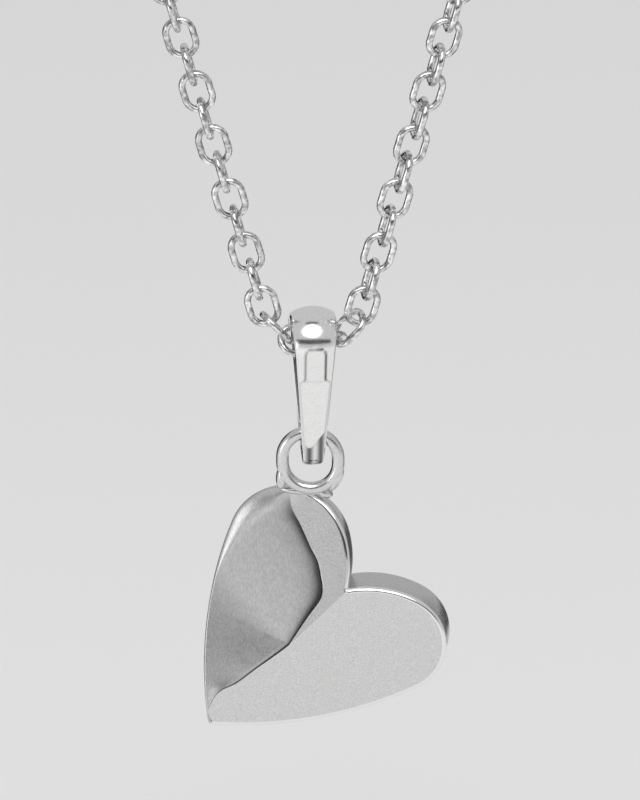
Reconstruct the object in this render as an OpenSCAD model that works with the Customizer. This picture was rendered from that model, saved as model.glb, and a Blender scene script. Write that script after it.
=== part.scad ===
// Heart pendant on a fine cable chain, hanging as it is worn.
// The origin is the middle of the neck hollow; +Z is up and the front faces -Y.

/* [Chain] */
// Length of the whole necklace, clasp included
loop_len = 406.4; // [380:0.1:460]
// Links on each side of the loop
side_links = 121; // [100:1:121]
// Outer width of a link
link_w = 1.86; // [1.7:0.01:2]
// Outer length of a link
link_l = 2.48; // [2.3:0.01:2.6]
// Thickness of the link wire, square in section
link_wire = 0.3; // [0.28:0.01:0.32]
// Distance from one link to the next
pitch = 1.62; // [1.6:0.01:1.64]
// Angle of each side of the hanging loop to the vertical
side_lean = 15.8; // [14:0.1:18]
// Turn of the right side's links about the chain's own line
right_roll = 12; // [8:1:14]

/* [Clasp] */
// Diameter of the clasp's barrel
clasp_d = 2.6; // [2:0.1:3.2]
// Wire of the clasp's end eyes
eye_wire = 0.4; // [0.3:0.05:0.5]
// Radius of an eye to the middle of its wire
eye_r = 0.75; // [0.7:0.01:0.85]
// Gap between an eye and the link that hooks into it
eye_gap = 0.15; // [0.1:0.01:0.2]

/* [Bail] */
// Outer radius of the bail over the chain
bail_r = 1.86; // [1.8:0.01:2]
// Inner radius of the bail over the chain
bail_bore_r = 1.32; // [1.3:0.01:1.34]
// Outer radius of the bail's closed lower end
tip_r = 0.72; // [0.65:0.01:0.8]
// Distance between the centres of those two ends
bail_reach = 6.53; // [6.4:0.01:6.6]
// Width of the band at its top
bail_w = 2.5; // [2.2:0.01:2.6]
// Width of the band at its lower end
tip_w = 1.06; // [1:0.01:1.2]
// Turn of the bail about the vertical
bail_turn = 6; // [0:0.5:8]

/* [Ring] */
// Wire of the ring soldered to the heart
ring_wire = 0.68; // [0.6:0.01:0.7]
// Radius of the ring's ends to the middle of the wire
ring_r = 1.51; // [1.45:0.01:1.6]
// Straight length between the ring's two ends
ring_straight = 0.25; // [0.1:0.01:0.4]

/* [Heart] */
// Thickness of the heart
heart_t = 2.4; // [2:0.05:2.6]
// Lean of the heart's axis from the vertical
heart_lean = 44; // [40:0.1:48]
// Turn of the heart about the vertical
heart_turn = 4; // [0:0.5:6]
// Fall of the left lobe's face for each millimetre from the heart's axis
face_fall = 0.33; // [0.3:0.01:0.35]
// Distance from that axis at which the face stops falling
fall_run = 4.6; // [4:0.1:5]
// Radius of the scoop's floor
scoop_r = 5.4; // [5.2:0.05:5.6]
// Height of the floor's middle above the heart's back
scoop_floor = 0.5; // [0.4:0.05:0.6]
// Tilt of the floor
scoop_tilt = 11.3; // [10:0.1:12]
// Run of the scoop's wall for each millimetre of its height
scoop_wall = 2; // [1.5:0.1:2.5]

/* [Hidden] */
$fn = 64;

link_straight = link_l - link_w;

// The two lowest links on each side: climb, shortening of the joint below, and rolls on the right and on the left
climb = [20.6, 46.7];
close_up = [0.14, 0.2];
low_roll_right = [52, 117];
low_roll_left = [-36, 75];
function step(angle, distance) = distance * [cos(angle), sin(angle)];
low_1 = step(climb[0], pitch - close_up[0] / 2);
low_2 = low_1 + step(climb[1], pitch - close_up[1] / 2);
side_start = low_2 - step(90 - side_lean, close_up[1] / 2);

// The rest of the loop: two straight sides and a round top about the origin
top_turn = (90 + side_lean) * PI / 180;
top_r = (loop_len / 2 - 2 * pitch + side_start[0] / sin(side_lean)) / (1 / tan(side_lean) + top_turn);
side_len = (top_r * cos(side_lean) - side_start[0]) / sin(side_lean);
low_z = -top_r * sin(side_lean) - side_len * cos(side_lean) - side_start[1];

// Heights of the pendant's parts below the loop; the bail's and ring's wires hang in hollows that clear their swing
bail_seat = 0.35;
bail_z = low_z + bail_seat;
ring_drop = 5.35;
ring_top_z = bail_z - ring_drop;
slot_r = 0.7;
slot_play = 0.3;
slot_z = -ring_drop - slot_play;
ring_x = -0.12;
ring_z = ring_top_z - ring_r - ring_straight / 2;

// Places in the heart's own plane: across from its axis, and along it from its point
ring_at = [-6.62, 14.66];
solder_at = [-5.6, 12.98];
scoop_at = [-6.7, 6.3];
solder_r = 1.35;
solder_t = 0.6;

// The outline of each half: heading at the point, then [radius, turn] of the side, the shoulder and the inner curve
left_heading = 53.9;
left_arcs = [[20.6, 31.6], [3.3, 141.9], [6.38, 34.4]];
right_heading = 49;
right_arcs = [[22, 30.6], [2.89, 124.9], [5.69, 36.8]];
inside = [1.5, 8.5];
far = 20;

// Place and climb of a link on the right side, counted from the lowest
function side_link(s) =
    s < side_len
        ? [side_start + [0, low_z] + step(90 - side_lean, s), 90 - side_lean]
        : let (a = (s - side_len) / top_r * 180 / PI - side_lean) [step(a, top_r), 90 + a];
function link_at(k) =
    k == 0 ? [[0, low_z] + step(climb[0], (pitch - close_up[0]) / 2), climb[0]]
        : k == 1 ? [[0, low_z] + low_1 + step(climb[1], (pitch - close_up[1]) / 2), climb[1]]
        : side_link((k - 1.5) * pitch);

// Turn of a link about the chain's line
function roll_right(k) = k < 2 ? low_roll_right[k] : (k % 2 == 0 ? 0 : 90) + right_roll;
function roll_left(k) = k < 2 ? low_roll_left[k] : k % 2 == 0 ? 0 : 90;

// An oval ring standing in the XZ plane, longer along X
module link() {
    module oval(r) {
        for (side = [-1, 1])
            translate([side * link_straight / 2, 0]) circle(r = r, $fn = 32);
        square([link_straight, 2 * r], center = true);
    }
    rotate([90, 0, 0])
        linear_extrude(link_wire, center = true)
            difference() {
                oval(link_w / 2);
                oval(link_w / 2 - link_wire);
            }
}

module chain() {
    color("silver")
        for (k = [0:side_links - 1]) {
            at = link_at(k);
            translate([at[0][0], 0, at[0][1]]) rotate([0, -at[1], 0]) rotate([roll_right(k), 0, 0]) link();
            translate([-at[0][0], 0, at[0][1]]) rotate([0, at[1], 0]) rotate([roll_left(k), 0, 0]) link();
        }
}

// A plain barrel across the top of the loop, with an eye at each end that a last link hooks into
module clasp() {
    last_end = (side_links - 0.5) * pitch + link_l / 2;
    eye_x = loop_len / 2 - last_end + link_wire + eye_gap + eye_wire - eye_r;
    body = eye_x - eye_r - clasp_d / 2 + eye_wire / 4;
    hook_x = eye_x + eye_r;
    color("silver")
        translate([0, 0, sqrt(top_r * top_r - hook_x * hook_x)]) {
            rotate([0, 90, 0]) cylinder(h = 2 * body, d = clasp_d, center = true);
            for (side = [-1, 1]) {
                translate([side * body, 0, 0]) sphere(d = clasp_d);
                translate([side * eye_x, 0, 0])
                    rotate_extrude() translate([eye_r, 0]) circle(d = eye_wire, $fn = 24);
            }
        }
}

// Points of an arc about a centre, and the outline of a band drawn tight round two circles
function arc_points(centre, r, from, to, count) =
    [for (i = [0:count]) let (a = from + (to - from) * i / count) centre + r * [cos(a), sin(a)]];
function tight_band(top_radius, low_radius, low_at) =
    let (lean = asin((top_radius - low_radius) / -low_at))
        concat(arc_points([0, 0], top_radius, -lean, 180 + lean, 30),
            arc_points([0, low_at], low_radius, 180 + lean, 360 - lean, 14));

// The band's tapering front outline, cut straight through from front to back
module band_front() {
    half_top = bail_w / 2;
    half_tip = tip_w / 2;
    foot = -bail_reach - tip_r;
    rotate([90, 0, 0])
        translate([0, 0, -2 * bail_r])
            linear_extrude(4 * bail_r)
                polygon([[-half_top, bail_r], [-half_tip, foot], [-half_tip, foot - 1], [half_tip, foot - 1],
                    [half_tip, foot], [half_top, bail_r], [half_top, bail_r + 1], [-half_top, bail_r + 1]]);
}

module bail() {
    color("silver")
        translate([0, 0, bail_z])
            rotate([0, 0, bail_turn])
                intersection() {
                    rotate([90, 0, 90])
                        linear_extrude(2 * bail_w, center = true)
                            difference() {
                                polygon(tight_band(bail_r, tip_r, -bail_reach));
                                polygon(tight_band(bail_bore_r, slot_r, slot_z));
                            }
                    band_front();
                }
}

// The ring that the heart hangs by, in the XZ plane
module ring() {
    for (side = [0, 180])
        rotate([0, side, 0]) {
            translate([0, 0, ring_straight / 2])
                rotate([90, 0, 0])
                    rotate_extrude(angle = 180) translate([ring_r, 0]) circle(d = ring_wire, $fn = 24);
            translate([ring_r, 0, 0]) cylinder(h = ring_straight, d = ring_wire, center = true, $fn = 24);
        }
}

// Centre, and end, of an arc that starts at a point with a heading from the heart's axis
function arc_centre(p, head, r) = p + r * [-cos(head), sin(head)];
function arc_end(p, head, r, turn) = arc_centre(p, head, r) + r * [cos(head - turn), -sin(head - turn)];

// The part of an arc's circle outside its chord, and some of the plate inside it
module arc_bulge(p, head, r, turn) {
    corner = p + r * tan(turn / 2) * [sin(head), cos(head)];
    intersection() {
        translate(arc_centre(p, head, r)) circle(r = r, $fn = 256);
        polygon([p, corner, arc_end(p, head, r, turn), inside]);
    }
}

// Half of the outline, on the side where across is positive
module half_outline(head, arcs) {
    p1 = arc_end([0, 0], head, arcs[0][0], arcs[0][1]);
    head2 = head - arcs[0][1];
    p2 = arc_end(p1, head2, arcs[1][0], arcs[1][1]);
    head3 = head2 - arcs[1][1];
    p3 = arc_end(p2, head3, arcs[2][0], arcs[2][1]);
    polygon([[-0.05, 0], [0, 0], p1, p2, p3, [-0.05, p3[1]]]);
    arc_bulge([0, 0], head, arcs[0][0], arcs[0][1]);
    arc_bulge(p1, head2, arcs[1][0], arcs[1][1]);
    arc_bulge(p2, head3, arcs[2][0], arcs[2][1]);
}

// The heart's plate, lying with its back at height 0
module plate() {
    low_face = heart_t - fall_run * face_fall;
    difference() {
        linear_extrude(heart_t) {
            half_outline(right_heading, right_arcs);
            mirror([1, 0]) half_outline(left_heading, left_arcs);
        }
        translate([0, far, 0])
            rotate([90, 0, 0])
                linear_extrude(2 * far)
                    polygon([[0, heart_t], [0, far], [-far, far], [-far, low_face], [-fall_run, low_face]]);
        translate([scoop_at[0], scoop_at[1], scoop_floor])
            rotate([0, -scoop_tilt, 0])
                cylinder(r1 = scoop_r, r2 = scoop_r + heart_t * scoop_wall, h = heart_t, $fn = 128);
    }
}

// The flow of solder that joins the ring to the lobe, clear of the ring's hole
module solder() {
    difference() {
        translate([solder_at[0], solder_at[1], 0]) cylinder(r = solder_r, h = solder_t, center = true);
        translate([ring_at[0], ring_at[1], 0]) cylinder(r = ring_r, h = 2 * solder_t, center = true);
    }
}

module heart() {
    color("silver")
        translate([ring_x, 0, ring_z])
            rotate([0, 0, -heart_turn]) {
                ring();
                rotate([90, 0, 0])
                    rotate([0, 0, -heart_lean])
                        translate([-ring_at[0], -ring_at[1], 0]) {
                            translate([0, 0, -heart_t / 2]) plate();
                            solder();
                        }
            }
}

chain();
clasp();
bail();
heart();
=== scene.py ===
import math

import bpy
from mathutils import Matrix, Vector


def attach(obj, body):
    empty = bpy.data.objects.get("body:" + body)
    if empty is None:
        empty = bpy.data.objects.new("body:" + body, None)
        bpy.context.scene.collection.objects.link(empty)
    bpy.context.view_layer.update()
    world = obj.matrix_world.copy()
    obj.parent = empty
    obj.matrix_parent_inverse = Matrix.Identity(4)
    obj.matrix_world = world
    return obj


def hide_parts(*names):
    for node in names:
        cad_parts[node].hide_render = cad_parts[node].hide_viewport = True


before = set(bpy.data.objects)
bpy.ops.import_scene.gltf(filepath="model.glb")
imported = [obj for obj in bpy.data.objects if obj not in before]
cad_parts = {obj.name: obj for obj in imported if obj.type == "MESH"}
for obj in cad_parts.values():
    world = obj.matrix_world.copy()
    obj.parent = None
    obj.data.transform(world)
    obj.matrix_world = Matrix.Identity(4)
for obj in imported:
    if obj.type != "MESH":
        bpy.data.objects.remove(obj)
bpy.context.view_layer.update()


def mm(value):
    return value * 0.001


def turned(degrees):
    # unit vector, measured from the first axis
    return Vector((math.cos(math.radians(degrees)), math.sin(math.radians(degrees))))


def smoothStep(low, high, value):
    t = min(1.0, max(0.0, (value - low) / (high - low)))
    return t * t * (3 - 2 * t)


def clearSelection():
    if bpy.context.mode != "OBJECT":
        bpy.ops.object.mode_set(mode="OBJECT")
    bpy.ops.object.select_all(action="DESELECT")


def pickAlone(piece):
    clearSelection()
    piece.select_set(True)
    bpy.context.view_layer.objects.active = piece


def joinPieces(pieces):
    clearSelection()
    for piece in pieces:
        piece.select_set(True)
    bpy.context.view_layer.objects.active = pieces[0]
    bpy.ops.object.join()
    return bpy.context.object


def finishPiece(piece, name, material, body, *nodes):
    # place into the mesh, then name, finish, body and the nodes that it replaces
    pickAlone(piece)
    bpy.ops.object.transform_apply(location=True, rotation=True, scale=True)
    piece.name = name
    piece.data.name = name
    if material:
        piece.data.materials.clear()
        piece.data.materials.append(material)
    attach(piece, body)
    if nodes:
        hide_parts(*nodes)


def newMeshPiece(name, points, faces, shades):
    # shades: how dark each point is, painted shade along the heart's fold and on the bail's curl and panel
    # outline
    mesh = bpy.data.meshes.new(name)
    mesh.from_pydata([tuple(p) for p in points], [], faces)
    mesh.update()
    shade = mesh.attributes.new("shade", "FLOAT", "POINT")
    shade.data.foreach_set("value", shades)
    piece = bpy.data.objects.new(name, mesh)
    bpy.context.collection.objects.link(piece)
    return piece


def ovalRing(radius, wire, straight, axis, bends, sides):
    # a round ring standing in the XZ plane, pulled out to an oval along an axis: 0 for X, 2 for Z
    clearSelection()
    bpy.ops.mesh.primitive_torus_add(major_segments=bends, minor_segments=sides, major_radius=mm(radius),
                                     minor_radius=mm(wire / 2), rotation=(math.radians(90), 0, 0))
    ring = bpy.context.object
    bpy.ops.object.transform_apply(location=True, rotation=True, scale=True)
    for side in (1, -1):
        bpy.ops.object.mode_set(mode="EDIT")
        bpy.ops.mesh.select_all(action="DESELECT")
        bpy.ops.object.mode_set(mode="OBJECT")
        for vertex in ring.data.vertices:
            vertex.select = vertex.co[axis] * side > mm(0.001)
        move = [0.0, 0.0, 0.0]
        move[axis] = side * mm(straight / 2)
        bpy.ops.object.mode_set(mode="EDIT")
        bpy.ops.transform.translate(value=move)
        bpy.ops.object.mode_set(mode="OBJECT")
    bpy.ops.object.shade_smooth()
    return ring


# the metal's finishes
silverLook = {
    "bright": (0.90, 0.90, 0.895, 1.0),
    "face": (0.70, 0.70, 0.697, 1.0),
    "scoop": (0.60, 0.60, 0.598, 1.0),     # the scoop is brushed; its darker tone is painted shade for its tilted face
    "ring": (0.72, 0.72, 0.717, 1.0),
    # colour of the painted shade that the shade attribute mixes in
    "paintedShade": (0.012, 0.012, 0.012, 1.0),
    "mottle": 0.13,                        # spread of the grain's own tone
    "fleckLow": 0.35,                      # the grain's noise from here to here takes all of that spread
    "fleckHigh": 0.65,
    "polished": 0.10,                      # roughness of the edges
    "worn": 0.16,                          # roughness of bail and chain
    "satin": 0.25,                         # roughness of the heart's faces
    "glossSpread": 0.2,                    # share by which the roughness comes and goes
    "grain": 13500.0,                      # waves of the grain in a metre
    "grainDetail": 3.0,
    "grainDepth": 0.004,
    "cloudSize": 8,                        # clouds in the gloss are this many times the grain's size
}


def silverMaterial(name, colour, roughness, bumpiness, stretch=(1.0, 1.0, 1.0), withPaintedShade=False):
    # fine grain in the surface, slow clouds in its gloss, and painted shade where the shade attribute is set
    look = silverLook
    material = bpy.data.materials.new(name)
    material.use_nodes = True
    tree = material.node_tree
    shader = tree.nodes["Principled BSDF"]
    shader.inputs["Metallic"].default_value = 1.0
    tone = tree.nodes.new("ShaderNodeMixRGB")
    spread = look["mottle"] * bumpiness
    tone.inputs["Color1"].default_value = [v * (1 - spread) for v in colour[:3]] + [1.0]
    tone.inputs["Color2"].default_value = [min(1.0, v * (1 + spread)) for v in colour[:3]] + [1.0]
    # painted shade: the shade attribute mixes the base colour towards near black
    if withPaintedShade:
        shade = tree.nodes.new("ShaderNodeAttribute")
        shade.attribute_name = "shade"
        paintedShade = tree.nodes.new("ShaderNodeMixRGB")
        paintedShade.inputs["Color2"].default_value = look["paintedShade"]
        tree.links.new(shade.outputs["Fac"], paintedShade.inputs["Fac"])
        tree.links.new(tone.outputs["Color"], paintedShade.inputs["Color1"])
        tree.links.new(paintedShade.outputs["Color"], shader.inputs["Base Color"])
    else:
        tree.links.new(tone.outputs["Color"], shader.inputs["Base Color"])
    coords = tree.nodes.new("ShaderNodeTexCoord")
    mapping = tree.nodes.new("ShaderNodeMapping")
    mapping.inputs["Scale"].default_value = stretch
    grain = tree.nodes.new("ShaderNodeTexNoise")
    grain.inputs["Scale"].default_value = look["grain"]
    grain.inputs["Detail"].default_value = look["grainDetail"]
    cloud = tree.nodes.new("ShaderNodeTexNoise")
    cloud.inputs["Scale"].default_value = look["grain"] / look["cloudSize"]
    gloss = tree.nodes.new("ShaderNodeMapRange")
    gloss.inputs["To Min"].default_value = roughness * (1 - look["glossSpread"])
    gloss.inputs["To Max"].default_value = roughness * (1 + look["glossSpread"])
    flecks = tree.nodes.new("ShaderNodeMapRange")
    flecks.inputs["From Min"].default_value = look["fleckLow"]
    flecks.inputs["From Max"].default_value = look["fleckHigh"]
    bump = tree.nodes.new("ShaderNodeBump")
    bump.inputs["Strength"].default_value = bumpiness
    bump.inputs["Distance"].default_value = mm(look["grainDepth"])
    tree.links.new(coords.outputs["Object"], mapping.inputs["Vector"])
    tree.links.new(mapping.outputs["Vector"], grain.inputs["Vector"])
    tree.links.new(coords.outputs["Object"], cloud.inputs["Vector"])
    tree.links.new(cloud.outputs["Fac"], gloss.inputs["Value"])
    tree.links.new(gloss.outputs["Result"], shader.inputs["Roughness"])
    tree.links.new(grain.outputs["Fac"], flecks.inputs["Value"])
    tree.links.new(flecks.outputs["Result"], tone.inputs["Fac"])
    tree.links.new(grain.outputs["Fac"], bump.inputs["Height"])
    tree.links.new(bump.outputs["Normal"], shader.inputs["Normal"])
    return material


# name, colour, roughness, strength of the grain, then its stretch and whether it takes the painted shade
satin = silverLook["satin"]
polishedSilver = silverMaterial("polishedSilver", silverLook["bright"], silverLook["polished"], 0.15)
bailSilver = silverMaterial("bailSilver", silverLook["bright"], silverLook["worn"], 0.5, withPaintedShade=True)
ringSilver = silverMaterial("ringSilver", silverLook["ring"], satin * 0.8, 0.8)
satinSilver = silverMaterial("satinSilver", silverLook["face"], satin, 0.8)
scoopSilver = silverMaterial("scoopSilver", silverLook["scoop"], satin * 1.1, 0.8, (1.0, 1.0, 0.3), True)
# the chain's grain has four times the tone spread: painted reflection flecks for the small reflections in its
# links, over real grain
chainSilver = silverMaterial("chainSilver", silverLook["ring"], silverLook["worn"], 4.0, (0.25, 0.25, 0.25))
print("finishes made")

# the chain
chainSize = {
    "loopLength": 406.4,
    "sideLinks": 121,
    "pitch": 1.62,
    "linkWidth": 1.86,
    "linkLength": 2.48,
    "wire": 0.38,
    "sideLean": 15.8,
    "lowClimb": (20.6, 46.7),     # the two lowest links on each side
    "lowCloseUp": (0.14, 0.20),
    "lowRollRight": (52, 117),
    "lowRollLeft": (-36, 75),
    "rightRoll": 12,
    "fineLinks": 16,              # links on each side that come close to the pendant
    "fineSides": (26, 12),        # steps round a link, and round its wire
    "plainSides": (14, 6),
}


def loopPlaces(size):
    # place and climb of each link on the right side, and the height of the lowest joint
    pitch, lean = size["pitch"], size["sideLean"]
    climb, closeUp = size["lowClimb"], size["lowCloseUp"]
    sinLean, cosLean = math.sin(math.radians(lean)), math.cos(math.radians(lean))
    lowOne = turned(climb[0]) * (pitch - closeUp[0] / 2)
    lowTwo = lowOne + turned(climb[1]) * (pitch - closeUp[1] / 2)
    sideStart = lowTwo - turned(90 - lean) * (closeUp[1] / 2)
    topTurn = math.radians(90 + lean)
    halfLoop = size["loopLength"] / 2 - 2 * pitch
    topRadius = (halfLoop + sideStart[0] / sinLean) / (cosLean / sinLean + topTurn)
    sideLength = (topRadius * cosLean - sideStart[0]) / sinLean
    lowHeight = -topRadius * sinLean - sideLength * cosLean - sideStart[1]
    low = Vector((0, lowHeight))
    places = [(low + turned(climb[0]) * ((pitch - closeUp[0]) / 2), climb[0]),
              (low + lowOne + turned(climb[1]) * ((pitch - closeUp[1]) / 2), climb[1])]
    for k in range(2, size["sideLinks"]):
        along = (k - 1.5) * pitch
        if along < sideLength:
            places.append((low + sideStart + turned(90 - lean) * along, 90 - lean))
        else:
            angle = math.degrees((along - sideLength) / topRadius) - lean
            places.append((turned(angle) * topRadius, 90 + angle))
    return places, lowHeight


chainPlaces, lowHeight = loopPlaces(chainSize)


def makeLink(steps):
    # long along X
    bendRadius = (chainSize["linkWidth"] - chainSize["wire"]) / 2
    straight = chainSize["linkLength"] - chainSize["linkWidth"]
    return ovalRing(bendRadius, chainSize["wire"], straight, 0, *steps)


def copyLink(pattern, place, climb, roll, side):
    copy = pattern.copy()
    copy.data = pattern.data.copy()
    bpy.context.collection.objects.link(copy)
    move = Matrix.Translation((side * mm(place[0]), 0, mm(place[1])))
    turn = Matrix.Rotation(math.radians(-climb * side), 4, "Y")
    copy.data.transform(move @ turn @ Matrix.Rotation(math.radians(roll), 4, "X"))
    return copy


def makeChain():
    fine = makeLink(chainSize["fineSides"])
    plain = makeLink(chainSize["plainSides"])
    links = []
    for k, (place, climb) in enumerate(chainPlaces):
        quarter = 0 if k % 2 == 0 else 90
        rollRight = chainSize["lowRollRight"][k] if k < 2 else quarter + chainSize["rightRoll"]
        rollLeft = chainSize["lowRollLeft"][k] if k < 2 else quarter
        pattern = fine if k < chainSize["fineLinks"] else plain
        links.append(copyLink(pattern, place, climb, rollRight, 1))
        links.append(copyLink(pattern, place, climb, rollLeft, -1))
    bpy.data.objects.remove(fine)
    bpy.data.objects.remove(plain)
    finishPiece(joinPieces(links), "chainLinks", chainSilver, "necklace", "chain")


makeChain()
print("chain made")

# the bail
bailSize = {
    "height": lowHeight + 0.35,   # centre of the arc over the chain
    "topRadius": 1.86,
    "topBore": 1.32,
    "tipRadius": 0.72,
    "reach": 6.53,
    "slotRadius": 0.70,
    "slotDrop": 5.65,
    "topWidth": 2.50,
    "tipWidth": 1.06,
    "dome": 2.2,                  # radius of the dome across the band
    "turn": 6.0,
    "edge": 0.09,                 # rounding of the band's outer edges
    "innerEdge": 0.05,            # chamfer of its inner edges
    "edgeAngles": (30, 60, 90),
    "bendSteps": 20,
    "legSteps": 72,
    "halfSteps": 30,              # from the middle of the band to an edge
    "smoothAngle": 35,
    # tip of the front leg's tongue, how its end rounds and rises to the sides, and the step under it, then
    # the painted shade on the curled end below, in stripes whose lighter gaps are painted glints
    "tongue": {"across": -0.24, "height": -6.02, "round": 0.15, "slope": 1.45, "sink": 0.05, "step": 0.09,
               "fadeFrom": -0.2, "fadeTo": 0.6, "dark": 0.85, "paintedGlintDepth": 0.45, "paintedGlintSpacing": 0.62},
    # the flat panel down the front leg: half width of its neck, its top end, and where it widens to the
    # edges, then the painted shade line round it, stronger on the right
    "panel": {"facing": 0.9, "neck": 0.55, "top": 0.20, "topRound": 0.3, "topRun": 0.12, "topShare": 0.8,
              "widens": -1.75, "widenRun": 0.25, "margin": 0.10, "line": 0.065, "lineFade": 0.7,
              "lineRight": 0.95, "lineLeft": 0.6},
}


def tightBand(topRadius, lowRadius, drop):
    # closed outline round two circles, seen from the side: points and outward normals, from the top backwards
    bendSteps, legSteps = bailSize["bendSteps"], bailSize["legSteps"]
    lean = math.degrees(math.asin((topRadius - lowRadius) / drop))
    stations = []
    for i in range(bendSteps):
        angle = 90 - (90 + lean) * i / bendSteps
        stations.append((turned(angle) * topRadius, turned(angle)))
    start, end = turned(-lean) * topRadius, turned(-lean) * lowRadius + Vector((0, -drop))
    for i in range(legSteps):
        stations.append((start.lerp(end, i / legSteps), turned(-lean)))
    for i in range(bendSteps + 1):
        angle = -lean - (90 - lean) * i / bendSteps
        stations.append((turned(angle) * lowRadius + Vector((0, -drop)), turned(angle)))
    other = [(Vector((-p[0], p[1])), Vector((-n[0], n[1]))) for p, n in stations[1:-1]]
    return stations + other[::-1]


def halfWidth(height):
    top, foot = bailSize["topRadius"], -bailSize["reach"] - bailSize["tipRadius"]
    t = (top - height) / (top - foot)
    return (bailSize["topWidth"] * (1 - t) + bailSize["tipWidth"] * t) / 2


def domeDrop(across):
    return bailSize["dome"] - math.sqrt(bailSize["dome"] ** 2 - across * across)


def curlSink(across, height, normal):
    # the front leg ends in a rounded tongue; below it the band's curled end lies a little deeper and takes
    # painted shade
    tongue = bailSize["tongue"]
    away = math.hypot(across - tongue["across"], tongue["round"]) - tongue["round"]
    boundary = tongue["height"] + tongue["slope"] * away
    below = 1 - smoothStep(boundary - tongue["step"] / 2, boundary + tongue["step"] / 2, height)
    return below * smoothStep(tongue["fadeFrom"], tongue["fadeTo"], -normal[0])


def panelShape(across, half, height, normal):
    # depth of the flat panel below the dome's crest, and how dark the painted shade along its outline is
    panel = bailSize["panel"]
    if normal[0] > -panel["facing"]:
        return 0.0, 0.0
    wide = 1 - smoothStep(panel["widens"] - panel["widenRun"], panel["widens"], height)
    reach = panel["neck"] + (half - panel["margin"] - panel["neck"]) * wide
    top = panel["top"] - panel["topRound"] * min(1.0, abs(across) / panel["neck"]) ** 4
    inside = 1 - smoothStep(top - panel["topRun"], top, height)
    outline = max(abs(across) - reach, (height - top) * panel["topShare"])
    line = math.exp(-(outline / panel["line"]) ** 2) * (1 - panel["lineFade"] * wide)
    return domeDrop(reach) * inside, line * (panel["lineRight"] if across > 0 else panel["lineLeft"])


def bandRow(outer, inner):
    # one ring of points round the band's section, as (across, place from the side), and their shades
    (p, n), (q, m) = outer, inner
    half, innerHalf = halfWidth(p[1]), halfWidth(q[1])
    edge, innerEdge, tongue = bailSize["edge"], bailSize["innerEdge"], bailSize["tongue"]
    row, shades = [], []
    steps = bailSize["halfSteps"]
    for i in range(-steps, steps + 1):       # domed outer face, left to right
        x = (half - edge) * math.sin(math.radians(90 * i / steps))
        sunk = curlSink(x, p[1], n)
        flat, line = panelShape(x, half, p[1], n)
        row.append((x, p - n * (max(domeDrop(x), flat) + sunk * tongue["sink"])))
        # painted shade on the curled end, in stripes with painted glints between them, and the panel's
        # painted shade line
        wave = math.cos(math.tau * (x - tongue["across"]) / tongue["paintedGlintSpacing"])
        shades.append(max(sunk * tongue["dark"] * (1 - tongue["paintedGlintDepth"] + tongue["paintedGlintDepth"] * wave), line))

    def roundedEdge(side, angle):
        a = math.radians(angle)
        drop = domeDrop(half) + curlSink(side * half, p[1], n) * tongue["sink"]
        return side * (half - edge + edge * math.sin(a)), p - n * (drop + edge * (1 - math.cos(a)))

    row += [roundedEdge(1, angle) for angle in bailSize["edgeAngles"]]
    row.append((innerHalf, q + m * innerEdge))
    row.append((innerHalf - innerEdge, q))
    row.append((-innerHalf + innerEdge, q))
    row.append((-innerHalf, q + m * innerEdge))
    row += [roundedEdge(-1, angle) for angle in bailSize["edgeAngles"][::-1]]
    return row, shades + [0.0] * (len(row) - len(shades))


def makeBail():
    outer = tightBand(bailSize["topRadius"], bailSize["tipRadius"], bailSize["reach"])
    inner = tightBand(bailSize["topBore"], bailSize["slotRadius"], bailSize["slotDrop"])
    points, faces, shades = [], [], []
    for one, two in zip(outer, inner):
        row, rowShades = bandRow(one, two)
        points += [(mm(x), mm(v[0]), mm(v[1])) for x, v in row]
        shades += rowShades
    total, rows = len(outer), len(row)
    for i in range(total):
        for j in range(rows):
            a, b = i * rows + j, i * rows + (j + 1) % rows
            c, d = ((i + 1) % total) * rows + (j + 1) % rows, ((i + 1) % total) * rows + j
            faces.append((a, b, c, d))
    bail = newMeshPiece("bailBand", points, faces, shades)
    bail.data.transform(Matrix.Translation((0, 0, mm(bailSize["height"])))
                        @ Matrix.Rotation(math.radians(bailSize["turn"]), 4, "Z"))
    pickAlone(bail)
    bpy.ops.object.mode_set(mode="EDIT")
    bpy.ops.mesh.select_all(action="SELECT")
    bpy.ops.mesh.remove_doubles(threshold=mm(0.001))
    bpy.ops.mesh.normals_make_consistent(inside=False)
    bpy.ops.object.mode_set(mode="OBJECT")
    bpy.ops.object.shade_smooth_by_angle(angle=math.radians(bailSize["smoothAngle"]))
    finishPiece(bail, "bailBand", bailSilver, "bail", "bail")


makeBail()
print("bail made")

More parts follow.
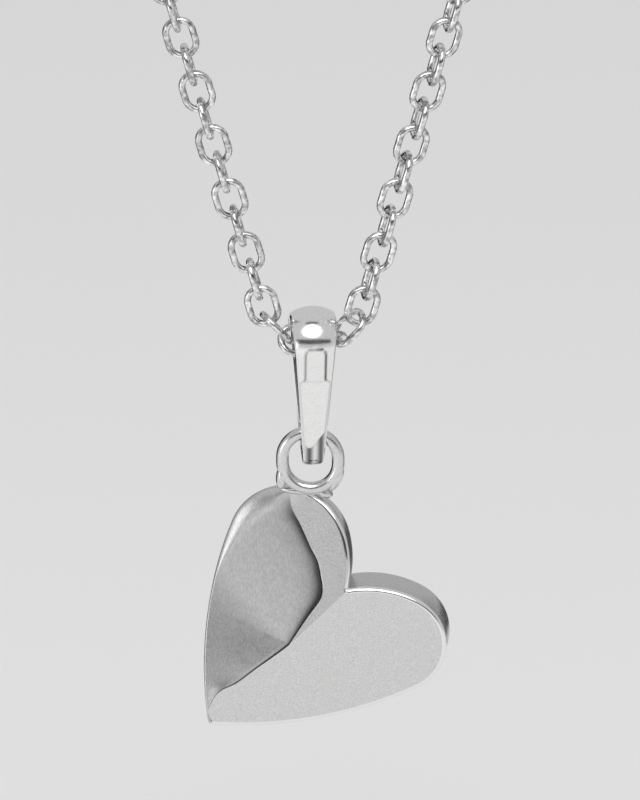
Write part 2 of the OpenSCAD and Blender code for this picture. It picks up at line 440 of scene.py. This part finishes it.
# the heart and its ring
heartSize = {
    "thickness": 2.4,
    "lean": 44.0,
    "turn": 4.0,
    "ringX": -0.12,
    "ringDrop": 5.35,              # top of the ring below the bail's arc centre
    "ringWire": 0.68,
    "ringRadius": 1.51,
    "ringStraight": 0.25,
    "ringSides": (96, 32),
    "ringAcross": -6.62,           # ring's centre in the heart's own plane
    "ringAlong": 14.66,
    # each half's heading at the point, then radius and turn of its side, shoulder and inner curve
    "leftHeading": 53.9,
    "leftArcs": ((20.6, 31.6), (3.3, 141.9), (6.38, 34.4)),
    "rightHeading": 49.0,
    "rightArcs": ((22.0, 30.6), (2.89, 124.9), (5.69, 39.5)),
    "arcSteps": (60, 80, 40),
    "pointRounding": 0.22,
    "pointSteps": 8,
    "pointTrim": 1.05,             # how far past the rounding the sides are trimmed
    "faceFall": 0.33,              # fall of the left lobe's face for each millimetre from the axis
    "fallRun": 4.5,                # from here on the fall eases off
    "fallEase": 2.2,
    "edge": 0.24,                  # rounding of the front edge
    "lowEdge": 0.10,               # and beside the lower scoop, over these shares of the way to the point
    "lowEdgeRun": (0.0, 0.15, 0.97, 1.0),
    "rimWidth": 1.10,              # wider and lower rounding along the scoop's rim
    "rimDepth": 0.42,
    "rimRun": (0.0, 0.10, 0.16, 0.50),
    "rimSoft": 0.75,               # share of soft chamfer in it
    "backEdge": 0.10,
    "scoopLow": 0.52,              # height of the scoop's floor this far left of the axis, and its slope
    "scoopLowAt": 6.7,
    "scoopSlope": 0.20,
    "scoopBow": 1.4,               # how fast the scoop falls away from the fold
    "footRise": 0.65,              # rise of the floor towards the point, from this far up the axis
    "footRun": 6.5,
    # the fold from the shoulder down to the point: left of the axis, along it, drop inside and its width,
    # depth of the groove, how dark the painted shade along it is and how wide
    "fold": ((5.26, 11.78, 0.0, 0.50, 0.0, 0.45, 0.38), (4.27, 11.49, 0.0, 0.50, 0.0, 0.85, 0.42),
             (3.12, 11.10, 0.02, 0.30, 0.0, 0.96, 0.46), (2.33, 10.87, 0.03, 0.30, 0.0, 0.98, 0.50),
             (1.61, 10.42, 0.04, 0.25, 0.0, 0.99, 0.52), (1.15, 10.07, 0.05, 0.20, 0.0, 0.99, 0.52),
             (0.78, 9.48, 0.06, 0.15, 0.02, 0.99, 0.46), (0.60, 8.37, 0.08, 0.12, 0.06, 0.99, 0.26),
             (0.20, 6.47, 0.10, 0.10, 0.12, 0.97, 0.11), (0.28, 5.69, 0.08, 0.10, 0.12, 0.95, 0.09),
             (0.48, 4.22, 0.06, 0.10, 0.10, 0.90, 0.07), (0.64, 2.86, 0.06, 0.10, 0.08, 0.80, 0.07),
             (0.93, 1.90, 0.06, 0.12, 0.06, 0.65, 0.07), (0.83, 1.11, 0.05, 0.12, 0.04, 0.45, 0.08),
             (0.49, 0.41, 0.03, 0.12, 0.0, 0.20, 0.08)),
    "foldStart": (0.0, 0.7, 0.0, 0.0, 0.4),      # the same from the drop on, where the fold meets the edge
    "foldEnd": (0.0, 0.15, 0.0, 0.0, 0.06),
    "foldSmooth": 24,              # steps between two rows
    "grooveWidth": 0.09,
    "paintedShadeFall": 2.5,              # how sharply the painted shade ends at its width
    # beads of solder round the ring's foot, and the flow that carries it back to the lobe's thin edge:
    # across, back and up from the ring's centre, half width, depth and height, turn
    "solder": ((-1.56, 0.0, -1.04, 0.30, 0.34, 0.72, 4), (1.40, 0.0, -1.04, 0.32, 0.34, 0.78, 24),
               (-0.50, 0.62, -1.93, 1.35, 0.58, 0.31, 3), (0.60, 0.60, -1.96, 0.66, 0.56, 0.31, 32)),
    "solderSides": (24, 14),
    "apex": (6.02, 12.35),         # where the fold meets the left shoulder
    "junction": 8,                 # the row of the table where fold and axis meet
    "foldSteps": 110,
    "lowSteps": 80,
    "axisSteps": 50,
    "scoopSteps": 64,
    "scoopCrowd": 1.8,             # crowds the scoop's columns towards the fold
    "plainSteps": 16,
    "fanSteps": 6,
    "edgeSteps": 12,
    "backSteps": 4,
    "mergeWithin": 0.004,
    "smoothAngle": 32,
    "crispAbove": 1.0,             # the fold and the axis lie higher than this, the back's edge lower
}


def arcPoints(start, heading, radius, turn, count):
    # an arc in the heart's plane, heading measured from its axis towards the side, turning inwards
    centre = start + Vector((-math.cos(math.radians(heading)), math.sin(math.radians(heading)))) * radius
    points = []
    for i in range(count + 1):
        a = math.radians(heading - turn * i / count)
        points.append(centre + Vector((math.cos(a), -math.sin(a))) * radius)
    return points


def halfOutline(heading, arcs):
    # from the point to the notch, on the side where across is positive
    outline, start = [], Vector((0, 0))
    for (radius, turn), count in zip(arcs, heartSize["arcSteps"]):
        points = arcPoints(start, heading, radius, turn, count)
        outline += points if not outline else points[1:]
        heading -= turn
        start = points[-1]
    return outline


def crossing(one, two):
    # first crossing of two rows of points, as (index in one, index in two, place)
    for i in range(len(one) - 1):
        for j in range(len(two) - 1):
            a, b, c, d = one[i], one[i + 1], two[j], two[j + 1]
            r, s = b - a, d - c
            cross = r[0] * s[1] - r[1] * s[0]
            if abs(cross) < 1e-9:
                continue
            t = ((c - a)[0] * s[1] - (c - a)[1] * s[0]) / cross
            u = ((c - a)[0] * r[1] - (c - a)[1] * r[0]) / cross
            if 0 <= t <= 1 and 0 <= u <= 1:
                return i, j, a + r * t
    return None


def evenly(points, count):
    # the same line with evenly spaced points
    lengths = [0.0]
    for a, b in zip(points, points[1:]):
        lengths.append(lengths[-1] + (b - a).length)
    result, k = [], 0
    for i in range(count + 1):
        want = lengths[-1] * i / count
        while k < len(points) - 2 and lengths[k + 1] < want:
            k += 1
        span = lengths[k + 1] - lengths[k]
        result.append(points[k].lerp(points[k + 1], (want - lengths[k]) / span if span > 0 else 0))
    return result


def throughPoints(points, count):
    # a smooth line through points of any size, count steps a span
    dense = []
    for i in range(len(points) - 1):
        p0, p1 = points[max(i - 1, 0)], points[i]
        p2, p3 = points[i + 1], points[min(i + 2, len(points) - 1)]
        for j in range(count):
            t = j / count
            dense.append([0.5 * (2 * b + (c - a) * t + (2 * a - 5 * b + 4 * c - d) * t * t
                                 + (3 * b - a - 3 * c + d) * t ** 3) for a, b, c, d in zip(p0, p1, p2, p3)])
    dense.append(list(points[-1]))
    return dense


def inward(points):
    # normals to the left of the walk, which is inwards where the heart is walked anticlockwise
    normals = []
    for i in range(len(points)):
        along = points[min(i + 1, len(points) - 1)] - points[max(i - 1, 0)]
        normals.append(Vector((-along[1], along[0])).normalized())
    return normals


def fanned(points, normals, atEnd):
    # the notch: its own normals turn to straight down the axis in a few steps at one place
    steps = heartSize["fanSteps"]
    place, first = (points[-1], normals[-1]) if atEnd else (points[0], normals[0])
    fan = [(place, first.lerp(Vector((0, -1)), (k + 1) / steps).normalized()) for k in range(steps)]
    pairs = list(zip(points, normals))
    return pairs + fan if atEnd else fan[::-1] + pairs


def heartCurves():
    # the outline's three stretches as (place, inward normal), walked anticlockwise: the scoop's side from
    # the apex to the point, the lobe's from the notch to the apex, the plain one from the point to the notch
    size = heartSize
    right = halfOutline(size["rightHeading"], size["rightArcs"])
    left = halfOutline(size["leftHeading"], size["leftArcs"])
    left = [Vector((-p[0], p[1])) for p in left]
    innerCurve = size["arcSteps"][0] + size["arcSteps"][1]
    i, j, notch = crossing(right[innerCurve:], left[innerCurve:])
    right = right[:innerCurve + 1 + i] + [notch]
    left = left[:innerCurve + 1 + j] + [notch]

    # the point is rounded a little
    radius, half = size["pointRounding"], math.radians((size["leftHeading"] + size["rightHeading"]) / 2)
    pointCentre = Vector((0, radius / math.sin(half)))
    reach = radius / math.tan(half) * size["pointTrim"]
    cap = []
    for i in range(size["pointSteps"] + 1):
        angle = -90 + (90 - math.degrees(half)) * i / size["pointSteps"]
        cap.append(pointCentre + turned(angle) * radius)
    right = cap + [p for p in right if p.length > reach]
    left = [Vector((-p[0], p[1])) for p in cap] + [p for p in left if p.length > reach]

    # the fold starts on the left shoulder
    want = Vector((-size["apex"][0], size["apex"][1]))
    near = min(range(len(left)), key=lambda k: (left[k] - want).length)
    apex = left[near]

    scoopLine = evenly([apex] + left[:near][::-1], size["foldSteps"] + size["lowSteps"])
    lobeLine = evenly(left[near:][::-1], size["foldSteps"] - size["fanSteps"])
    plainLine = evenly(right, size["lowSteps"] + size["axisSteps"] - size["fanSteps"])
    scoopSide = list(zip(scoopLine, inward(scoopLine)))
    lobeSide = fanned(lobeLine, inward(lobeLine), False)
    plainSide = fanned(plainLine, inward(plainLine), True)
    # stretches that meet at the apex and at the point share their normals there
    for one, two in ((scoopSide, lobeSide), (plainSide, scoopSide)):
        shared = (one[0][1] + two[-1][1]).normalized()
        one[0] = (one[0][0], shared)
        two[-1] = (two[-1][0], shared)
    return scoopSide, lobeSide, plainSide, notch


def between(run, t):
    # 0 to 1 over the first two shares, back to 0 over the last two
    return smoothStep(run[0], run[1], t) * (1 - smoothStep(run[2], run[3], t))


def rounding(scooped, t):
    # width and depth of the front edge's rounding along a stretch, t from 0 to 1
    edge = heartSize["edge"]
    if not scooped:
        return edge, edge
    edge += (heartSize["lowEdge"] - edge) * between(heartSize["lowEdgeRun"], t)
    wide = between(heartSize["rimRun"], t)
    return edge + (heartSize["rimWidth"] - edge) * wide, edge + (heartSize["rimDepth"] - edge) * wide


def innerLine(stretch, scooped=False):
    last = len(stretch) - 1
    return [p + n * rounding(scooped, i / last)[0] for i, (p, n) in enumerate(stretch)]


def foldLines(start, end):
    # the fold as (place, other columns), from the edge at the apex to the axis, and on to the point's edge
    size = heartSize
    rows = [(-start[0], start[1]) + size["foldStart"]] + list(size["fold"])
    rows.append((-end[0], end[1]) + size["foldEnd"])
    cut = size["junction"] + 1
    halves = []
    for part, count in ((rows[:cut + 1], size["foldSteps"]), (rows[cut:], size["lowSteps"])):
        places = evenly([Vector(row) for row in throughPoints(part, size["foldSmooth"])], count)
        halves.append([(Vector((-p[0], p[1])), p[2:]) for p in places])
    return halves


def scoopFloor(place):
    size = heartSize
    foot = size["footRise"] * (1 - smoothStep(0, size["footRun"], place[1]))
    return size["scoopLow"] + size["scoopSlope"] * (place[0] + size["scoopLowAt"]) + foot


def makeHeartBody():
    size = heartSize
    thick = size["thickness"]
    scoopSide, lobeSide, plainSide, notch = heartCurves()
    nFold, nAxis = size["foldSteps"], size["axisSteps"]
    scoopInner, lobeInner, plainInner = innerLine(scoopSide, True), innerLine(lobeSide), innerLine(plainSide)
    foldUpper, foldLower = foldLines(scoopInner[0], scoopInner[-1])
    fold = foldUpper + foldLower[1:]
    junction = foldLower[0][0]
    axis = [junction.lerp(plainInner[-1], k / nAxis) for k in range(nAxis + 1)]

    def faceHeight(place):
        # the left lobe's face falls away from the line between junction and notch, and eases off outwards
        share = (place[1] - junction[1]) / (notch[1] - junction[1])
        left = max(0.0, junction[0] + (notch[0] - junction[0]) * share - place[0])
        past = max(0.0, left - size["fallRun"])
        return thick - size["faceFall"] * (left - past * past / (2 * size["fallEase"]))

    points, faces, looks, shades = [], [], [], []

    def addGrid(grid, look, paintedShades=()):
        # a grid of points as quads; rows run along the walk, columns away from the fold
        start = len(points)
        width = len(grid[0])
        for row in grid:
            points.extend(row)
        shades.extend(paintedShades or [0.0] * (len(points) - start))
        for i in range(len(grid) - 1):
            for j in range(width - 1):
                a = start + i * width + j
                faces.append((a, a + width, a + width + 1, a + 1))
                looks.append(look)

    # the scoop: a sloping floor, drawn up to the fold beside it
    grid, paintedShades = [], []
    for i, (place, (drop, soft, groove, dark, darkWidth)) in enumerate(fold):
        foldHeight = thick if i >= nFold else faceHeight(place)
        paintedShades.append(dark)
        length = max(0.01, (scoopInner[i] - place).length)
        bow = foldHeight - drop - scoopFloor(place)
        row = [(place[0], place[1], foldHeight)]
        for j in range(1, size["scoopSteps"] + 1):
            w = (j / size["scoopSteps"]) ** size["scoopCrowd"]
            spot = place.lerp(scoopInner[i], w)
            near = max(0.0, 1 - length * w / soft) ** 2
            cut = groove * (1 - w) * math.exp(-length * w / size["grooveWidth"])
            drawn = bow * (1 - w) ** size["scoopBow"]
            row.append((spot[0], spot[1], scoopFloor(spot) + drawn + drop * near - cut))
            # painted shade, darkest at the fold and fading into the scoop
            paintedShades.append(dark / (1 + (length * w / darkWidth) ** size["paintedShadeFall"]))
        grid.append(row)
    addGrid(grid, 1, paintedShades)
    rimHeights = [row[-1][2] for row in grid]

    # the falling strip of the left lobe, from the axis to the apex
    grid, paintedShades = [], []
    for i in range(nFold + 1):
        place, columns = foldUpper[nFold - i]
        row = []
        for j in range(nAxis + 1):
            spot = place.lerp(lobeInner[i], j / nAxis)
            row.append((spot[0], spot[1], faceHeight(spot)))
        grid.append(row)
        paintedShades += [columns[3]] + [0.0] * nAxis
    addGrid(grid, 0, paintedShades)
    stripHeights = [row[-1][2] for row in grid]

    # the plain face, from the point to the notch
    side = [f[0] for f in foldLower][::-1] + axis[1:]
    sidePaintedShades = [f[1][3] for f in foldLower][::-1] + [0.0] * nAxis
    grid, paintedShades = [], []
    for i, place in enumerate(side):
        row = []
        for j in range(size["plainSteps"] + 1):
            spot = place.lerp(plainInner[i], j / size["plainSteps"])
            row.append((spot[0], spot[1], thick))
        grid.append(row)
        paintedShades += [sidePaintedShades[i]] + [0.0] * size["plainSteps"]
    addGrid(grid, 0, paintedShades)

    # rounded front edge, wall and back edge
    back = size["backEdge"]
    plainHeights = [thick] * len(plainSide)
    for stretch, heights in ((scoopSide, rimHeights), (lobeSide, stripHeights), (plainSide, plainHeights)):
        scooped = stretch is scoopSide
        edgeGrid, wallGrid = [], []
        last = len(stretch) - 1
        for i, (p, n) in enumerate(stretch):
            width, depth = rounding(scooped, i / last)
            row = []
            for k in range(size["edgeSteps"] + 1):
                a = math.radians(90 * k / size["edgeSteps"])
                out, down = math.sin(a), 1 - math.cos(a)
                if scooped:
                    # a soft chamfer before the round
                    down = size["rimSoft"] * out * out + (1 - size["rimSoft"]) * down
                spot = p + n * width * (1 - out)
                row.append((spot[0], spot[1], heights[i] - depth * down))
            edgeGrid.append(row)
            row = row[-1:]
            for k in range(size["backSteps"] + 1):
                a = math.radians(90 * k / size["backSteps"])
                spot = p + n * back * (1 - math.cos(a))
                row.append((spot[0], spot[1], back * (1 - math.sin(a))))
            wallGrid.append(row)
        addGrid(edgeGrid, 1 if scooped else 2)
        addGrid(wallGrid, 1)

    heart = newMeshPiece("heartBody", [(mm(x), mm(y), mm(z)) for x, y, z in points], faces, shades)
    for material in (satinSilver, scoopSilver, polishedSilver):
        heart.data.materials.append(material)
    for face, look in zip(heart.data.polygons, looks):
        face.material_index = look

    # doubles merged, the flat back filled, normals outwards
    pickAlone(heart)
    bpy.ops.object.mode_set(mode="EDIT")
    bpy.ops.mesh.select_all(action="SELECT")
    bpy.ops.mesh.remove_doubles(threshold=mm(size["mergeWithin"]))
    bpy.ops.mesh.select_all(action="DESELECT")
    bpy.ops.mesh.select_mode(type="EDGE")
    bpy.ops.mesh.select_non_manifold(extend=False, use_wire=False, use_multi_face=False,
                                     use_non_contiguous=False, use_verts=False)
    bpy.ops.mesh.edge_face_add()
    bpy.ops.mesh.select_all(action="SELECT")
    bpy.ops.mesh.normals_make_consistent(inside=False)
    bpy.ops.object.mode_set(mode="OBJECT")
    bpy.ops.object.shade_smooth_by_angle(angle=math.radians(size["smoothAngle"]))

    # the fold and the axis stay crisp
    crisp = {(round(p[0], 3), round(p[1], 3)) for p in [f[0] for f in fold] + axis}
    mesh = heart.data
    onLine = []
    for v in mesh.vertices:
        place = (round(v.co.x * 1000, 3), round(v.co.y * 1000, 3))
        onLine.append(place in crisp and v.co.z > mm(size["crispAbove"]))
    for edge in mesh.edges:
        if onLine[edge.vertices[0]] and onLine[edge.vertices[1]]:
            edge.use_edge_sharp = True
    sharpEdges = sum(1 for edge in mesh.edges if edge.use_edge_sharp)
    print("heart body", len(mesh.vertices), "vertices,", sharpEdges, "sharp edges")
    return heart


def makeRing():
    size = heartSize
    parts = [ovalRing(size["ringRadius"], size["ringWire"], size["ringStraight"], 2, *size["ringSides"])]
    segments, rings = size["solderSides"]
    for across, back, up, wide, deep, high, turn in size["solder"]:
        clearSelection()
        bpy.ops.mesh.primitive_uv_sphere_add(segments=segments, ring_count=rings, radius=1)
        bead = bpy.context.object
        bead.scale = (mm(wide), mm(deep), mm(high))
        bead.rotation_euler = (0, math.radians(turn), 0)
        bead.location = (mm(across), mm(back), mm(up))
        bpy.ops.object.transform_apply(location=True, rotation=True, scale=True)
        parts.append(bead)
    ring = joinPieces(parts)
    bpy.ops.object.shade_smooth()
    return ring


# the ring hangs in the bail, and the heart lies round it in its own plane before it is stood up
halfRing = heartSize["ringRadius"] + heartSize["ringStraight"] / 2
ringHeight = bailSize["height"] - heartSize["ringDrop"] - halfRing
hang = (Matrix.Translation((mm(heartSize["ringX"]), 0, mm(ringHeight)))
        @ Matrix.Rotation(math.radians(-heartSize["turn"]), 4, "Z"))
ringPlace = Vector((heartSize["ringAcross"], heartSize["ringAlong"], heartSize["thickness"] / 2))
lay = (Matrix.Rotation(math.radians(90), 4, "X") @ Matrix.Rotation(math.radians(-heartSize["lean"]), 4, "Z")
       @ Matrix.Translation([mm(-v) for v in ringPlace]))

heartBody = makeHeartBody()
heartBody.data.transform(hang @ lay)
finishPiece(heartBody, "heartBody", None, "heart", "heart")
ring = makeRing()
ring.data.transform(hang)
finishPiece(ring, "heartRing", ringSilver, "heart")
print("heart made")

# the camera
photoView = {
    "width": 640,
    "height": 800,
    "elevation": 22.0,
    "scale": 0.054,                # millimetres a pixel
    "centreX": 312.5,              # photo column of the object's middle plane
    "bailRow": 340.0,              # photo row of the bail's arc centre
    "distance": 5000.0,            # far away with a long lens, as the photo's perspective is flat
    "sensor": 12.0,
    "clip": (100.0, 20000.0),
}


def makeCamera():
    view = photoView
    up = math.radians(view["elevation"])
    aside = (view["width"] / 2 - view["centreX"]) * view["scale"]
    below = (view["height"] / 2 - view["bailRow"]) * view["scale"] / math.cos(up)
    target = Vector((mm(aside), 0, mm(bailSize["height"] - below)))
    way = Vector((0, -math.cos(up), math.sin(up)))
    place = target + way * mm(view["distance"])
    bpy.ops.object.camera_add(location=place, rotation=(math.radians(90) - up, 0, 0))
    camera = bpy.context.object
    camera.data.sensor_fit = "VERTICAL"
    camera.data.sensor_height = view["sensor"]
    camera.data.lens = view["sensor"] * view["distance"] / (view["height"] * view["scale"])
    camera.data.clip_start, camera.data.clip_end = [mm(v) for v in view["clip"]]
    bpy.context.scene.camera = camera


makeCamera()

# floor and light
stage = {
    "floorDrop": 175.0,            # floor below the neck's middle
    "floorSize": 3000.0,
    "floorTone": 0.94,
    "skyTone": 0.58,
    "paperRoughness": 0.9,
    "paperShine": 0.1,
    "middle": (2.0, 0.0, -146.0),  # what the cards and lights stand round
    # name, degrees left of straight ahead, degrees above level, distance, width and height in degrees as seen
    # from the pendant, then a softbox's brightness or a card's tone
    "softboxes": (("frontSoftbox", 0, 53, 400, 50, 42, 2.2), ("leftSoftbox", 54, 4, 150, 28, 26, 1.4)),
    "cards": (("backFloorCard", 180, -24, 68, 110, 24, 0.03), ("frontCard", 0, 17, 420, 110, 17, 0.10),
              ("overheadCard", 0, 82, 380, 30, 7, 0.02), ("leftBackCard", 128, 0, 60, 44, 60, 0.03),
              ("rightBackCard", -128, 0, 60, 44, 60, 0.40)),
}
stageMiddle = Vector([mm(v) for v in stage["middle"]])


def paper(name, tone):
    material = bpy.data.materials.new(name)
    material.use_nodes = True
    shader = material.node_tree.nodes["Principled BSDF"]
    shader.inputs["Base Color"].default_value = (tone, tone, tone, 1)
    shader.inputs["Roughness"].default_value = stage["paperRoughness"]
    shader.inputs["Specular IOR Level"].default_value = stage["paperShine"]
    return material


def roundMiddle(left, up, distance):
    a, b = math.radians(left), math.radians(up)
    way = Vector((-math.sin(a) * math.cos(b), -math.cos(a) * math.cos(b), math.sin(b)))
    return stageMiddle + way * mm(distance)


def spanAt(distance, degrees):
    return 2 * mm(distance) * math.tan(math.radians(degrees / 2))


def placeCard(name, left, up, distance, wide, high, tone):
    # a studio card that reflections see and the camera doesn't
    clearSelection()
    bpy.ops.mesh.primitive_plane_add(size=1)
    card = bpy.context.object
    card.location = roundMiddle(left, up, distance)
    card.rotation_euler = (stageMiddle - card.location).to_track_quat("Z", "Y").to_euler()
    card.scale = (spanAt(distance, wide), spanAt(distance, high), 1)
    bpy.ops.object.transform_apply(location=True, rotation=True, scale=True)
    card.name = name
    card.data.materials.append(paper(name, tone))
    card.visible_camera = False
    card.visible_shadow = False
    card.visible_diffuse = False


def placeSoftbox(name, left, up, distance, wide, high, brightness):
    # an area light facing the pendant; brightness is what a mirror shows of it
    light = bpy.data.lights.new(name, "AREA")
    light.shape = "ELLIPSE"
    light.size = spanAt(distance, wide)
    light.size_y = spanAt(distance, high)
    light.energy = brightness * math.pi * (math.pi / 4 * light.size * light.size_y)
    lamp = bpy.data.objects.new(name, light)
    bpy.context.collection.objects.link(lamp)
    lamp.location = roundMiddle(left, up, distance)
    lamp.rotation_euler = (stageMiddle - lamp.location).to_track_quat("-Z", "Y").to_euler()


clearSelection()
bpy.ops.mesh.primitive_plane_add(size=mm(stage["floorSize"]), location=(0, 0, mm(-stage["floorDrop"])))
floor = bpy.context.object
floor.name = "floor"
floor.data.materials.append(paper("floorPaper", stage["floorTone"]))
for softbox in stage["softboxes"]:
    placeSoftbox(*softbox)
for card in stage["cards"]:
    placeCard(*card)

world = bpy.data.worlds.new("studio")
world.use_nodes = True
world.node_tree.nodes["Background"].inputs["Color"].default_value = [stage["skyTone"]] * 3 + [1.0]
bpy.context.scene.world = world
bpy.context.scene.view_settings.view_transform = "Standard"
print("stage made")

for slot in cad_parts["clasp"].material_slots:
    slot.material = polishedSilver
